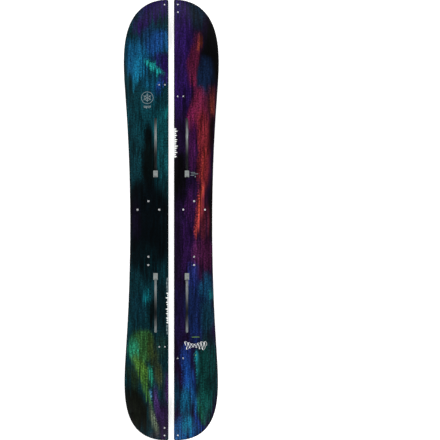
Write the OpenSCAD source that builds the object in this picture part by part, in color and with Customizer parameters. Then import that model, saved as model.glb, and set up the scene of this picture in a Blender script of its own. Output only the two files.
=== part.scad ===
// Split snowboard deck for backcountry touring: two long half boards that lie side by side.
// Each half is a glued sandwich: running base, steel edges, glass laminate, wood core with its
// sidewalls and end spacers, glass laminate and top sheet. Slotted rails for the bindings, their
// loading-port plugs and the threaded inserts for the touring hardware sit in the core.
// Frame: +Y points at the nose, +Z up from the base, X across; the origin is on the ground, midway
// between the halves. Millimetres.

/* [Board outline] */
// Length from nose to tail, seen from above
board_length = 1480; // [1400:5:1700]
// Width of one half at the waist
waist_half_width = 129.2; // [120:0.2:140]
// Distance of the waist from mid length, towards the nose when positive
waist_y = -15; // [-60:1:60]
// Radius of the sidecut ahead of the waist
nose_sidecut_r = 5730; // [5200:10:9000]
// Radius of the sidecut behind the waist
tail_sidecut_r = 6090; // [5200:10:9000]
// Length over which the nose rounds off
nose_round_length = 350; // [280:5:400]
// Length over which the tail rounds off
tail_round_length = 380; // [280:5:400]
// Radius at the inner corners of nose and tail
corner_r = 5; // [3:0.5:9]
// Distance between the two halves as they lie
seam_gap = 18; // [2:0.5:60]

/* [Board profile] */
// Length of the nose that curves up
nose_kick_length = 235; // [180:5:280]
// Length of the tail that curves up
tail_kick_length = 220; // [180:5:280]
// Radius of both kicks at the base
kick_r = 500; // [430:10:800]

/* [Layers] */
// Thickness of the running base
base_t = 1.3; // [1:0.1:1.8]
// Thickness of each glass laminate
laminate_t = 0.8; // [0.5:0.1:1.2]
// Thickness of the top sheet
topsheet_t = 0.6; // [0.4:0.1:1]
// Thickness of the core between the binding rails
core_mid_t = 6.4; // [6.4:0.1:8]
// Thickness of the core at its ends and of the end spacers
core_end_t = 2.6; // [2.4:0.1:4]
// Half length of the full-thickness part of the core
core_flat_y = 400; // [385:5:460]
// Half length of the core
core_end_y = 565; // [545:5:620]
// Width of a steel edge
edge_w = 2.2; // [1.8:0.1:3]
// Gap between the lengths in which edges, base and end spacers are laid
length_joint = 0.1; // [0.1:0.05:0.4]
// Width of the outer sidewall
outer_sidewall_w = 5; // [4:0.5:9]
// Width of the sidewall along the seam
inner_sidewall_w = 3.5; // [2.5:0.5:5]
// How far the top sheet stays back from the outer sidewall's face
topsheet_setback = 1.5; // [0.5:0.1:3]
// How far the top sheet stays back from the seam
topsheet_seam_setback = 0.8; // [0.3:0.1:2]

/* [Base inlay] */
// Radius of the die-cut disc in each base
inlay_r = 49; // [30:1:55]
// Distance of the disc's centre from the seam side
inlay_u = 74; // [66:1:78]
// Distance of the disc's centre from mid length
inlay_y = 505; // [470:5:530]

/* [Binding rails] */
// Distance of a rail's centreline from the seam side
rail_u = 43.8; // [38:0.2:48]
// Place of the nose rail's port end
nose_rail_y = 143.5; // [135:0.5:160]
// Place of the tail rail's port end
tail_rail_y = -178.5; // [-185:0.5:-174]
// Length of the open slot, port included
slot_length = 200; // [160:1:205]
// Width of the slot's mouth
mouth_w = 7.6; // [7:0.1:9]
// Width of the T-slot under the lips
cavity_w = 13.4; // [12:0.1:14.4]
// Height of the T-slot under the lips
cavity_h = 4.2; // [4.1:0.1:4.6]
// Outside width of the rail
rail_w = 20; // [18:0.5:22]
// Thickness of the rail's floor
rail_floor_t = 1; // [0.8:0.1:1.2]
// Thickness of the wall beyond the port
rail_end_wall = 3; // [2:0.5:6]
// Width of the loading port
port_w = 15; // [14.6:0.1:16]
// Length of the loading port
port_length = 23; // [20:0.5:26]
// How far the top sheet stays back from the slot's mouth
mouth_reveal = 0.5; // [0.3:0.1:1]

/* [Port plugs] */
// Clearance between a plug and its port, all round
plug_gap = 0.2; // [0.15:0.05:0.4]
// Depth of the finger scoop in a plug
scoop_depth = 2.4; // [1:0.1:3.5]
// Length of the finger scoop
scoop_length = 4.5; // [3:0.5:8]
// Width of the finger scoop
scoop_w = 9; // [5:0.5:11]

/* [Inserts] */
// Radius of a large insert's barrel
large_barrel_r = 3.9; // [3.5:0.1:4.5]
// Radius of a large insert's hole
large_hole_r = 2.5; // [2.1:0.1:2.6]
// Radius of a small insert's barrel
small_barrel_r = 3.1; // [2.9:0.1:3.4]
// Radius of a small insert's hole
small_hole_r = 2.1; // [1.7:0.1:2.1]
// How far an insert's flange stands out from its barrel
flange_lip = 2.6; // [1.5:0.1:3]
// Thickness of an insert's flange
flange_t = 0.9; // [0.6:0.1:1.2]
// Thickness of metal left under an insert's hole
insert_floor_t = 0.7; // [0.5:0.1:1]
// Glue gap round an insert or a rail
glue_gap = 0.1; // [0.05:0.05:0.2]

/* [Insert places] */
// Distance of the touring hardware's centreline from the seam side
tour_u = 67.9; // [62:0.1:72]
// Place of the touring bracket's front insert
bracket_front_y = 63.3; // [50:0.1:80]
// Distance from the front insert back to the bracket's pair
bracket_rise = 28.6; // [24:0.1:32]
// Spacing of the bracket's pair
bracket_pitch = 72.8; // [60:0.1:76]
// Place of the heel riser's front insert
riser_front_y = -123.5; // [-132:0.1:-110]
// Spacing of the heel riser's inserts
riser_pitch = 27.8; // [24:0.1:30]
// Distance of the first hook insert from the seam side
hook_u = 12.3; // [11:0.1:15]
// Spacing of a hook's inserts
hook_pitch = 19; // [17:0.1:24]
// Place of the nose hooks' midpoint
nose_hook_y = 435.2; // [420:0.1:450]
// Place of the tail hooks' midpoint
tail_hook_y = -445.4; // [-470:0.1:-430]
// How far the left hook is ahead of the right one
hook_stagger = 38.7; // [30:0.1:44]
// Distance of the clip inserts from the seam side
clip_u = 13.4; // [12:0.1:16]
// Distance of the outer clip insert from the board's end
clip_end = 17; // [15:0.5:22]
// Spacing of a clip's two inserts
clip_pitch = 25; // [20:0.1:30]

/* [Hidden] */
SIDES = ["left", "right"];
PIECES = [
    "base", "base_inlay", "nose_edge", "tail_edge", "outer_edge", "inner_edge",
    "lower_laminate", "core_inner", "core_middle", "core_outer",
    "nose_spacer", "tail_spacer", "outer_sidewall", "inner_sidewall", "upper_laminate",
    "topsheet", "nose_rail", "tail_rail", "nose_port_plug", "tail_port_plug",
    "bracket_inserts", "riser_inserts", "nose_hook_inserts", "tail_hook_inserts",
    "nose_clip_inserts", "tail_clip_inserts"
];
$fn = 64;

// Fullness of the rounded ends: the higher the power, the squarer the end
nose_power = [2.2, 3.1];
tail_power = [2.4, 3.9];
end_steps = 30;      // outline segments along each rounded end
side_steps = 14;     // outline segments along the sidecut
corner_steps = 5;    // outline segments round an inner corner
kick_steps = 14;     // flat strips along each kick
overshoot = 12;      // how far the profile runs on past the outline, before it is cut
half_length = board_length / 2;
wide = 220;          // more than the width of a half
tall = 150;          // more than the height of the kicks

nose_kick_y = half_length - nose_kick_length;
tail_kick_y = -(half_length - tail_kick_length);
base_joints = [
    nose_kick_y, nose_kick_y + nose_kick_length / 2,
    tail_kick_y, tail_kick_y - tail_kick_length / 2
];
spacer_joint_y = (core_end_y + half_length) / 2;
core_bottom = base_t + laminate_t;
insert_bed = 0.3;    // gap that keeps an insert's flat flange off the curved laminate
plug_rest = 0.1;     // gap under a plug

/* Plan view. u is measured from the seam side of a half, y along the board. */

function sidecut(y) = waist_half_width
    + pow(y - waist_y, 2) / (2 * (y > waist_y ? nose_sidecut_r : tail_sidecut_r));

// s runs from 0 where an end starts to round off to 1 at its tip
function fullness(s, power) = pow(1 - pow(s, power[1]), 1 / power[0]);

function end_point(s, round_length, power, sign) =
    let (y = sign * (half_length - round_length * (1 - s)))
    [sidecut(y) * fullness(s, power), y];

nose_curve = [for (i = [end_steps:-1:1])
    end_point(sin(90 * i / end_steps), nose_round_length, nose_power, 1)];
tail_curve = [for (i = [1:end_steps])
    end_point(sin(90 * i / end_steps), tail_round_length, tail_power, -1)];
side_curve = [for (i = [0:side_steps])
    let (y = (half_length - nose_round_length) * (1 - i / side_steps)
        - (half_length - tail_round_length) * i / side_steps)
    [sidecut(y), y]];
rim = concat(nose_curve, side_curve, tail_curve);

function unit(v) = v / norm(v);

// The rim moved inwards by d, square to itself
function moved_rim(d) = [for (i = [0:len(rim) - 1])
    let (t = unit(rim[min(i + 1, len(rim) - 1)] - rim[max(i - 1, 0)]))
    rim[i] + d * [t[1], -t[0]]];

// The round inner corner at a board end; sign is 1 at the nose and -1 at the tail
function corner_points(curve, seam, r, sign) =
    let (y = lookup(seam + r, [for (p = curve) [p[0], p[1]]]))
    [for (i = [0:corner_steps])
        let (a = 180 - 90 * i / corner_steps)
        [seam + r + r * cos(a), y - sign * r + sign * r * sin(a)]];

function reversed(list) = [for (i = [len(list) - 1:-1:0]) list[i]];

// Plan outline of one layer: rim_inset from the rim, seam_inset from the seam side
function plan_points(rim_inset, seam_inset) =
    let (
        curve = moved_rim(rim_inset),
        r = max(corner_r - rim_inset, 1),
        nose_part = [for (i = [0:end_steps - 8]) curve[i]],
        tail_part = [for (i = [len(curve) - 1:-1:len(curve) - end_steps + 7]) curve[i]]
    )
    concat(
        corner_points(nose_part, seam_inset, r, 1),
        [for (p = curve) if (p[0] > seam_inset + r + 0.5) p],
        reversed(corner_points(tail_part, seam_inset, r, -1))
    );

module plan(rim_inset, seam_inset) {
    polygon(plan_points(rim_inset, seam_inset));
}

/* Side view. Heights are measured square to the base. */

nose_kick_angle = asin((nose_kick_length + overshoot) / kick_r);
tail_kick_angle = asin((tail_kick_length + overshoot) / kick_r);

// [y, z, slope] along the underside, from tail to nose
stations = concat(
    [for (i = [kick_steps:-1:0])
        let (a = tail_kick_angle * i / kick_steps)
        [tail_kick_y - kick_r * sin(a), kick_r * (1 - cos(a)), -a]],
    [[-core_flat_y, 0, 0], [core_flat_y, 0, 0]],
    [for (i = [0:kick_steps])
        let (a = nose_kick_angle * i / kick_steps)
        [nose_kick_y + kick_r * sin(a), kick_r * (1 - cos(a)), a]]
);

function core_t(y) = core_mid_t - (core_mid_t - core_end_t)
    * min(max((abs(y) - core_flat_y) / (core_end_y - core_flat_y), 0), 1);
function board_top(y) = core_bottom + core_t(y) + laminate_t + topsheet_t;

function lifted(station, h) =
    [station[0] - h * sin(station[2]), station[1] + h * cos(station[2])];

// Slab between two heights; core_share adds the core's own thickness to a height
module slab(low, high, low_core, high_core) {
    points = concat(
        [for (s = stations) lifted(s, low + low_core * core_t(s[0]))],
        [for (s = reversed(stations)) lifted(s, high + high_core * core_t(s[0]))]
    );
    rotate([90, 0, 90]) linear_extrude(wide) polygon(points);
}

module layer(low, high, low_core = 0, high_core = 0) {
    intersection() {
        linear_extrude(tall) children();
        slab(low, high, low_core, high_core);
    }
}

module between(y_low, y_high) {
    translate([0, y_low]) square([wide, y_high - y_low]);
}

// Puts children on the underside at y, with their z square to the board
module on_board(y) {
    if (y > nose_kick_y)
        translate([0, nose_kick_y, kick_r])
            rotate([asin((y - nose_kick_y) / (kick_r - board_top(y))), 0, 0])
                translate([0, 0, -kick_r]) children();
    else if (y < tail_kick_y)
        translate([0, tail_kick_y, kick_r])
            rotate([asin((y - tail_kick_y) / (kick_r - board_top(y))), 0, 0])
                translate([0, 0, -kick_r]) children();
    else
        translate([0, y, 0]) children();
}

/* Where the inserts go: [u, y] lists. side is -1 on the left and 1 on the right. */

bracket_places = [
    [tour_u, bracket_front_y],
    [tour_u - bracket_pitch / 2, bracket_front_y - bracket_rise],
    [tour_u + bracket_pitch / 2, bracket_front_y - bracket_rise]
];
riser_places = [[tour_u, riser_front_y], [tour_u, riser_front_y - riser_pitch]];
function hook_places(y, side) = [for (u = [hook_u, hook_u + hook_pitch])
    [u, y - side * hook_stagger / 2]];
clip_y = half_length - clip_end;
nose_clip_left = [[clip_u, clip_y]];
nose_clip_right = [[clip_u, clip_y], [clip_u, clip_y - clip_pitch]];
tail_clip_left = [[clip_u, -clip_y], [clip_u, -clip_y + clip_pitch]];
tail_clip_right = [[clip_u, -clip_y]];
large_places = concat(bracket_places, riser_places);
function small_places(side) = concat(
    hook_places(nose_hook_y, side), hook_places(tail_hook_y, side),
    side < 0 ? nose_clip_left : nose_clip_right,
    side < 0 ? tail_clip_left : tail_clip_right
);

// Slope of the board at y. The inserts of one clip share the mean slope of its two places, so
// that they stand parallel and one clip plate takes both screws.
function slope(y) = y > nose_kick_y ? asin((y - nose_kick_y) / (kick_r - board_top(y)))
    : y < tail_kick_y ? asin((y - tail_kick_y) / (kick_r - board_top(y)))
    : 0;
function insert_slope(y) = abs(y) > clip_y - clip_pitch - 1
    ? (slope(sign(y) * clip_y) + slope(sign(y) * (clip_y - clip_pitch))) / 2
    : slope(y);

// Puts children on the underside below an insert's place, turned with the insert
module at_insert(place) {
    top = board_top(place[1]);
    translate([place[0], place[1], kick_r - (kick_r - top) * cos(slope(place[1]))])
        rotate([insert_slope(place[1]), 0, 0])
            translate([0, 0, -top]) children();
}

module insert(y, barrel_r, hole_r) {
    height = board_top(y) - core_bottom - insert_bed;
    translate([0, 0, core_bottom + insert_bed]) difference() {
        union() {
            cylinder(r = barrel_r, h = height);
            cylinder(r = barrel_r + flange_lip, h = flange_t);
        }
        translate([0, 0, insert_floor_t]) cylinder(r = hole_r, h = height);
    }
}

module inserts(places, barrel_r, hole_r) {
    color("gainsboro") for (p = places)
        at_insert(p) insert(p[1], barrel_r, hole_r);
}

// Holes for the barrels through the upper layers, with room for the flanges in the core
module insert_pocket(barrel_r, with_flange) {
    cylinder(r = barrel_r + glue_gap, h = tall / 2);
    if (with_flange)
        cylinder(
            r = barrel_r + flange_lip + glue_gap,
            h = core_bottom + insert_bed + flange_t + glue_gap
        );
}

module insert_pockets(side, with_flange) {
    for (p = large_places)
        at_insert(p) insert_pocket(large_barrel_r, with_flange);
    for (p = small_places(side))
        at_insert(p) insert_pocket(small_barrel_r, with_flange);
}

/* Binding rails, drawn from the port end with the slot running along +y */

rail_end = slot_length - mouth_w / 2;   // centre of the round ends

module round_bar(w, start, h) {
    translate([-w / 2, start, 0]) cube([w, rail_end - start, h]);
    translate([0, rail_end, 0]) cylinder(d = w, h = h);
}

module port_block(gap, h) {
    translate([-port_w / 2 - gap, -gap, 0]) cube([port_w + 2 * gap, port_length + 2 * gap, h]);
}

module rail() {
    difference() {
        round_bar(rail_w, -rail_end_wall, core_mid_t);
        translate([0, 0, rail_floor_t]) {
            round_bar(cavity_w, 0, cavity_h);
            round_bar(mouth_w, 0, core_mid_t);
            port_block(0, core_mid_t);
        }
    }
}

module place_rail(nose) {
    if (nose)
        translate([rail_u, nose_rail_y, core_bottom]) children();
    else
        translate([rail_u, tail_rail_y, core_bottom]) mirror([0, 1, 0]) children();
}

// The core's strips stop a glue gap short of the rails
rail_side = rail_w / 2 + glue_gap;
rail_start = rail_end_wall + glue_gap;
rail_reach = rail_end + rail_side;
strip_u = [rail_u - rail_side, rail_u + rail_side];
inner_places = [[0, strip_u[0], -core_end_y, core_end_y]];
outer_places = [[strip_u[1], wide, -core_end_y, core_end_y]];
middle_places = [
    [strip_u[0], strip_u[1], -core_end_y, tail_rail_y - rail_reach],
    [strip_u[0], strip_u[1], tail_rail_y + rail_start, nose_rail_y - rail_start],
    [strip_u[0], strip_u[1], nose_rail_y + rail_reach, core_end_y]
];

module slot_openings() {
    for (nose = [true, false]) place_rail(nose) {
        round_bar(mouth_w + 2 * mouth_reveal, 0, tall / 2);
        port_block(mouth_reveal, tall / 2);
    }
}

// Plug that closes a loading port, flush with the top sheet; the scoop faces the tail
module port_plug(nose) {
    bottom = rail_floor_t + plug_rest;
    top = core_mid_t + laminate_t + topsheet_t;
    scoop_y = nose ? 0 : port_length;
    place_rail(nose) difference() {
        translate([-port_w / 2 + plug_gap, plug_gap, bottom])
            cube([port_w - 2 * plug_gap, port_length - 2 * plug_gap, top - bottom]);
        translate([-scoop_w / 2, scoop_y - scoop_length, top - scoop_depth])
            cube([scoop_w, 2 * scoop_length, tall / 2]);
    }
}

/* The layers of one half */

module base(side) {
    color(side < 0 ? "#141414" : "#f4f4f2") difference() {
        layer(0, base_t) plan(edge_w, edge_w);
        inlay_disc(side);
        for (y = base_joints) joint_slit(y);
    }
}

// Cut across the board, square to it, between two lengths of one layer
module joint_slit(y) {
    on_board(y) translate([-1, -length_joint / 2, -1]) cube([wide, length_joint, tall / 2]);
}

module inlay_disc(side) {
    translate([inlay_u, -side * inlay_y, -1]) cylinder(r = inlay_r, h = tall);
}

module base_inlay(side) {
    color(side < 0 ? "#f4f4f2" : "#141414") intersection() {
        layer(0, base_t) plan(edge_w, edge_w);
        inlay_disc(side);
    }
}

module edge_ring(y_low, y_high) {
    intersection() {
        difference() {
            plan(0, 0);
            plan(edge_w, edge_w);
        }
        between(y_low, y_high);
    }
}

// Length of edge that wraps one end of the board, from the seam side to the outer side
module end_edge(y_low, y_high) {
    color("silver") layer(0, core_bottom) edge_ring(y_low, y_high);
}

module outer_edge() {
    color("silver") layer(0, core_bottom) difference() {
        edge_ring(tail_kick_y, nose_kick_y);
        seam_strip(edge_w);
    }
}

module inner_edge() {
    color("silver") layer(0, core_bottom) intersection() {
        edge_ring(tail_kick_y, nose_kick_y);
        seam_strip(edge_w);
    }
}

// Strip of the plan along the seam side
module seam_strip(w) {
    translate([-1, -board_length]) square([w + 1, 2 * board_length]);
}

module lower_laminate() {
    color("#b9bda0") layer(base_t, core_bottom) plan(edge_w, edge_w);
}

// The core is glued up from upright strips: one bundle on each side of the rails and one in line
// with them. places holds the [u_low, u_high, y_low, y_high] of each length.
module core_strips(side, places) {
    color("burlywood") difference() {
        layer(core_bottom, core_bottom, 0, 1) intersection() {
            plan(outer_sidewall_w, inner_sidewall_w);
            for (p = places) translate([p[0], p[2]]) square([p[1] - p[0], p[3] - p[2]]);
        }
        insert_pockets(side, true);
    }
}

module spacer(side, y_low, y_high) {
    color("#3a3a3c") difference() {
        layer(core_bottom, core_bottom, 0, 1) intersection() {
            plan(0, 0);
            between(y_low, y_high);
        }
        insert_pockets(side, true);
        joint_slit(y_low > 0 ? spacer_joint_y : -spacer_joint_y);
    }
}

module outer_sidewall() {
    color("#101012") layer(core_bottom, core_bottom, 0, 1) difference() {
        intersection() {
            plan(0, 0);
            between(-core_end_y, core_end_y);
        }
        plan(outer_sidewall_w, inner_sidewall_w);
        seam_strip(inner_sidewall_w);
    }
}

module inner_sidewall() {
    color("#101012") layer(core_bottom, core_bottom, 0, 1) intersection() {
        seam_strip(inner_sidewall_w);
        plan(0, 0);
        between(-core_end_y, core_end_y);
    }
}

module upper_laminate(side) {
    color("#b9bda0") difference() {
        layer(core_bottom, core_bottom + laminate_t, 1, 1)
            plan(topsheet_setback, topsheet_seam_setback);
        slot_openings();
        insert_pockets(side, false);
    }
}

module topsheet(side) {
    color(side < 0 ? "#123a4a" : "#3a1a4c") difference() {
        layer(core_bottom + laminate_t, core_bottom + laminate_t + topsheet_t, 1, 1)
            plan(topsheet_setback, topsheet_seam_setback);
        slot_openings();
        insert_pockets(side, false);
    }
}

// One named piece of one half, in the half's own u, y, z
module piece(name, side) {
    if (name == "base") base(side);
    if (name == "base_inlay") base_inlay(side);
    if (name == "nose_edge") end_edge(nose_kick_y + length_joint, board_length);
    if (name == "tail_edge") end_edge(-board_length, tail_kick_y - length_joint);
    if (name == "outer_edge") outer_edge();
    if (name == "inner_edge") inner_edge();
    if (name == "lower_laminate") lower_laminate();
    if (name == "core_inner") core_strips(side, inner_places);
    if (name == "core_middle") core_strips(side, middle_places);
    if (name == "core_outer") core_strips(side, outer_places);
    if (name == "nose_spacer") spacer(side, core_end_y, board_length);
    if (name == "tail_spacer") spacer(side, -board_length, -core_end_y);
    if (name == "outer_sidewall") outer_sidewall();
    if (name == "inner_sidewall") inner_sidewall();
    if (name == "upper_laminate") upper_laminate(side);
    if (name == "topsheet") topsheet(side);
    if (name == "nose_rail") color("lightsteelblue") place_rail(true) rail();
    if (name == "tail_rail") color("lightsteelblue") place_rail(false) rail();
    if (name == "nose_port_plug") color("#c8cac8") port_plug(true);
    if (name == "tail_port_plug") color("#c8cac8") port_plug(false);
    if (name == "bracket_inserts") inserts(bracket_places, large_barrel_r, large_hole_r);
    if (name == "riser_inserts") inserts(riser_places, large_barrel_r, large_hole_r);
    if (name == "nose_hook_inserts")
        inserts(hook_places(nose_hook_y, side), small_barrel_r, small_hole_r);
    if (name == "tail_hook_inserts")
        inserts(hook_places(tail_hook_y, side), small_barrel_r, small_hole_r);
    if (name == "nose_clip_inserts")
        inserts(side < 0 ? nose_clip_left : nose_clip_right, small_barrel_r, small_hole_r);
    if (name == "tail_clip_inserts")
        inserts(side < 0 ? tail_clip_left : tail_clip_right, small_barrel_r, small_hole_r);
}

// A half's pieces in the board's frame; the left half is the mirror of the right one
module placed(name, side) {
    mirror([side < 0 ? 1 : 0, 0, 0]) translate([seam_gap / 2, 0, 0]) piece(name, side);
}

for (side_name = SIDES) for (piece_name = PIECES)
    placed(piece_name, side_name == "left" ? -1 : 1);
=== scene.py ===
import math

import bmesh
import bpy
from mathutils import Matrix, Vector


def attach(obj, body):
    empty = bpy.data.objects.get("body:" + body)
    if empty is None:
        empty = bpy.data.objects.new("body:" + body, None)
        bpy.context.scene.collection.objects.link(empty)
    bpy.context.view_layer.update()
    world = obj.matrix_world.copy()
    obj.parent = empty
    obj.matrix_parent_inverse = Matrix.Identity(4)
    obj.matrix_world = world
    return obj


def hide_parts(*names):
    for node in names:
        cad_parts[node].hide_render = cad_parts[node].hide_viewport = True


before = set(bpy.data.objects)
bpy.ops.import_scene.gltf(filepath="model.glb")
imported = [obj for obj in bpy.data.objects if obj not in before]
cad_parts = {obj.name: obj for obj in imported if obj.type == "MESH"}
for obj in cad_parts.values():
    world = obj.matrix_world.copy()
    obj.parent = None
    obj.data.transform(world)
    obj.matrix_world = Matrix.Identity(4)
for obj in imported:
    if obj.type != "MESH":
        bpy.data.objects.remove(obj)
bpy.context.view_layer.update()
mm = 0.001

# The deck's own sizes in millimetres, the same as the CAD. u runs from the seam outwards, y to the nose.
deck = {
    "trim": 0.99989,             # keeps the rim just inside the solid
    "halfLength": 740, "seamGap": 18,
    "waistWidth": 129.2, "waistY": -15, "noseSidecut": 5730, "tailSidecut": 6090,
    "noseRound": 350, "tailRound": 380, "nosePower": (2.2, 3.1), "tailPower": (2.4, 3.9),
    "cornerRadius": 5, "noseKickY": 505, "tailKickY": -520, "kickRadius": 500,
    "endSteps": 54, "sideSteps": 28,
    "rowAngle": 1.0, "bendRows": 27,    # degrees between the rows that bend, and rows in a kick
    "cut": (-3, 14),             # heights that a cutter spans, past every layer
}
layer = {
    "base": 1.3, "coreBottom": 2.1, "coreTop": 8.5, "laminateTop": 9.3, "top": 9.9,
    "coreMid": 6.4, "coreEnd": 2.6, "coreFlatY": 400, "coreEndY": 565,
    "edgeWidth": 2.2, "outerSidewall": 5, "innerSidewall": 3.5,
    "rimSetback": 1.5, "seamSetback": 0.8, "topEdge": 0.25, "spacerGap": 0.05,
}
sides = {"left": -1, "right": 1}


def sidecut(y):
    radius = deck["noseSidecut"] if y > deck["waistY"] else deck["tailSidecut"]
    return deck["waistWidth"] + (y - deck["waistY"]) ** 2 / (2 * radius)


def endPoint(s, roundLength, power, sign):
    y = sign * (deck["halfLength"] - roundLength * (1 - s))
    return Vector((sidecut(y) * (1 - s ** power[1]) ** (1 / power[0]), y))


def rimPoints():
    n = deck["endSteps"]
    start = deck["halfLength"] - deck["noseRound"]
    end = -(deck["halfLength"] - deck["tailRound"])
    nose = [endPoint(math.sin(math.pi / 2 * i / n), deck["noseRound"], deck["nosePower"], 1)
            for i in range(n, 0, -1)]
    side = [start + (end - start) * i / deck["sideSteps"] for i in range(deck["sideSteps"] + 1)]
    tail = [endPoint(math.sin(math.pi / 2 * i / n), deck["tailRound"], deck["tailPower"], -1)
            for i in range(1, n + 1)]
    return nose + [Vector((sidecut(y), y)) for y in side] + tail


def movedRim(inset):
    rim = rimPoints()
    moved = []
    for i, point in enumerate(rim):
        along = (rim[min(i + 1, len(rim) - 1)] - rim[max(i - 1, 0)]).normalized()
        moved.append(point + inset * Vector((along.y, -along.x)))
    return moved


def cornerPoints(curve, seamInset, radius, sign):
    u = seamInset + radius
    for a, b in zip(curve, curve[1:]):
        if (a.x - u) * (b.x - u) <= 0:
            y = a.y + (b.y - a.y) * (u - a.x) / (b.x - a.x)
            break
    turns = [math.radians(180 - 90 * i / 6) for i in range(7)]
    return [Vector((u + radius * math.cos(t), y - sign * radius + sign * radius * math.sin(t)))
            for t in turns]


# Plan outline of one layer of a half: rimInset from the rim, seamInset from the seam
def planPoints(rimInset, seamInset):
    curve = movedRim(rimInset)
    radius = max(deck["cornerRadius"] - rimInset, 1)
    half = deck["endSteps"] // 2
    nose = cornerPoints(curve[:half], seamInset, radius, 1)
    tail = cornerPoints(curve[:-half:-1], seamInset, radius, -1)
    middle = [p for p in curve if p.x > seamInset + radius + 0.5]
    return nose + middle + tail[::-1]


def coreThickness(y):
    share = (abs(y) - layer["coreFlatY"]) / (layer["coreEndY"] - layer["coreFlatY"])
    return layer["coreMid"] - (layer["coreMid"] - layer["coreEnd"]) * min(max(share, 0), 1)


def boardTop(y):
    return layer["top"] - layer["coreMid"] + coreThickness(y)


def kickStart(y):
    if y > deck["noseKickY"]:
        return deck["noseKickY"]
    return deck["tailKickY"] if y < deck["tailKickY"] else None


# Height of a point that was modelled flat, once the core thins out and the ends curve up
def raisedHeight(y, height):
    if height > layer["coreTop"]:
        height += coreThickness(y) - layer["coreMid"]
    elif height > layer["coreBottom"]:
        share = (height - layer["coreBottom"]) / layer["coreMid"]
        height = layer["coreBottom"] + share * coreThickness(y)
    start = kickStart(y)
    if start is None:
        return height
    radius = deck["kickRadius"]
    return radius - math.sqrt((radius - height) ** 2 - (y - start) ** 2)


# Where a flat blank is cut across, so that it can thin out and bend
def bendRows():
    step = deck["kickRadius"] * math.radians(deck["rowAngle"])
    rows = [-layer["coreEndY"], -layer["coreFlatY"], layer["coreFlatY"], layer["coreEndY"]]
    for i in range(deck["bendRows"]):
        rows += [deck["noseKickY"] + step * i, deck["tailKickY"] - step * i]
    return [y for y in sorted(rows) if abs(y) < deck["halfLength"]]


def deselect():
    if bpy.context.object and bpy.context.object.mode != "OBJECT":
        bpy.ops.object.mode_set(mode="OBJECT")
    bpy.ops.object.select_all(action="DESELECT")


def only(piece):
    deselect()
    piece.select_set(True)
    bpy.context.view_layer.objects.active = piece


def named(name):
    piece = bpy.context.object
    piece.name = name
    piece.data.name = name
    return piece


# In edit mode, selects the faces for which test says yes
def pickFaces(piece, test):
    bpy.ops.object.mode_set(mode="EDIT")
    bpy.ops.mesh.select_mode(type="FACE")
    bpy.ops.mesh.select_all(action="DESELECT")
    mesh = bmesh.from_edit_mesh(piece.data)
    for face in mesh.faces:
        face.select_set(test(face))
    bmesh.update_edit_mesh(piece.data)


def pickEdges(piece, test):
    bpy.ops.object.mode_set(mode="EDIT")
    bpy.ops.mesh.select_mode(type="EDGE")
    bpy.ops.mesh.select_all(action="DESELECT")
    mesh = bmesh.from_edit_mesh(piece.data)
    for edge in mesh.edges:
        edge.select_set(test(*[v.co for v in edge.verts]))
    bmesh.update_edit_mesh(piece.data)


def easeEdges(piece, width, segments, test):
    pickEdges(piece, test)
    bpy.ops.mesh.bevel(offset=width * mm, segments=segments, affect="EDGES")
    bpy.ops.object.mode_set(mode="OBJECT")


def cutRows(piece, rows):
    only(piece)
    bpy.ops.object.mode_set(mode="EDIT")
    for y in rows:
        bpy.ops.mesh.select_all(action="SELECT")
        bpy.ops.mesh.bisect(plane_co=(0, y * mm, 0), plane_no=(0, 1, 0), threshold=0.000005)
    bpy.ops.object.mode_set(mode="OBJECT")


# In edit mode, cuts the picked piece across at y and drops the side beyond, towards way
def cropAt(y, way):
    bpy.ops.mesh.select_all(action="SELECT")
    bpy.ops.mesh.bisect(plane_co=(0, y * mm, 0), plane_no=(0, way, 0), use_fill=True, clear_outer=True)


def raiseToBoard(piece):
    for v in piece.data.vertices:
        v.co.z = raisedHeight(v.co.y / mm, v.co.z / mm) * mm
    piece.data.update()


def closeUp(piece, angle=30):
    only(piece)
    bpy.ops.object.mode_set(mode="EDIT")
    bpy.ops.mesh.select_all(action="SELECT")
    bpy.ops.mesh.remove_doubles(threshold=0.000002)
    bpy.ops.mesh.normals_make_consistent(inside=False)
    bpy.ops.object.mode_set(mode="OBJECT")
    bpy.ops.object.transform_apply(location=True, rotation=True, scale=True)
    bpy.ops.object.shade_smooth_by_angle(angle=math.radians(angle))


def carve(piece, cutter):
    only(piece)
    cut = piece.modifiers.new("cut", "BOOLEAN")
    cut.operation = "DIFFERENCE"
    cut.solver = "EXACT"
    cut.object = cutter
    bpy.ops.object.modifier_apply(modifier="cut")
    bpy.data.objects.remove(cutter)


def joined(pieces, name):
    deselect()
    for piece in pieces:
        piece.select_set(True)
    bpy.context.view_layer.objects.active = pieces[0]
    bpy.ops.object.join()
    return named(name)


def xOf(sign, u):
    return sign * (deck["seamGap"] / 2 + u)


# A flat outline, x and y in millimetres, given its thickness
def flatBlank(name, outline, low, high):
    deselect()
    bpy.ops.mesh.primitive_circle_add(vertices=len(outline), radius=0.1, fill_type="NGON")
    piece = named(name)
    for v, (x, y) in zip(piece.data.vertices, outline):
        v.co = Vector((x, y, low)) * mm
    pickFaces(piece, lambda face: True)
    bpy.ops.mesh.extrude_region_move(TRANSFORM_OT_translate={"value": (0, 0, (high - low) * mm)})
    bpy.ops.mesh.select_all(action="SELECT")
    bpy.ops.mesh.normals_make_consistent(inside=False)
    bpy.ops.object.mode_set(mode="OBJECT")
    return piece


# A sheet of one half, cut to the plan outline
def sheetBlank(name, sign, rimInset, seamInset, low, high):
    trim = deck["trim"]
    outline = [(xOf(sign, p.x) * trim, p.y * trim) for p in planPoints(rimInset, seamInset)]
    return flatBlank(name, outline, low, high)


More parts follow.
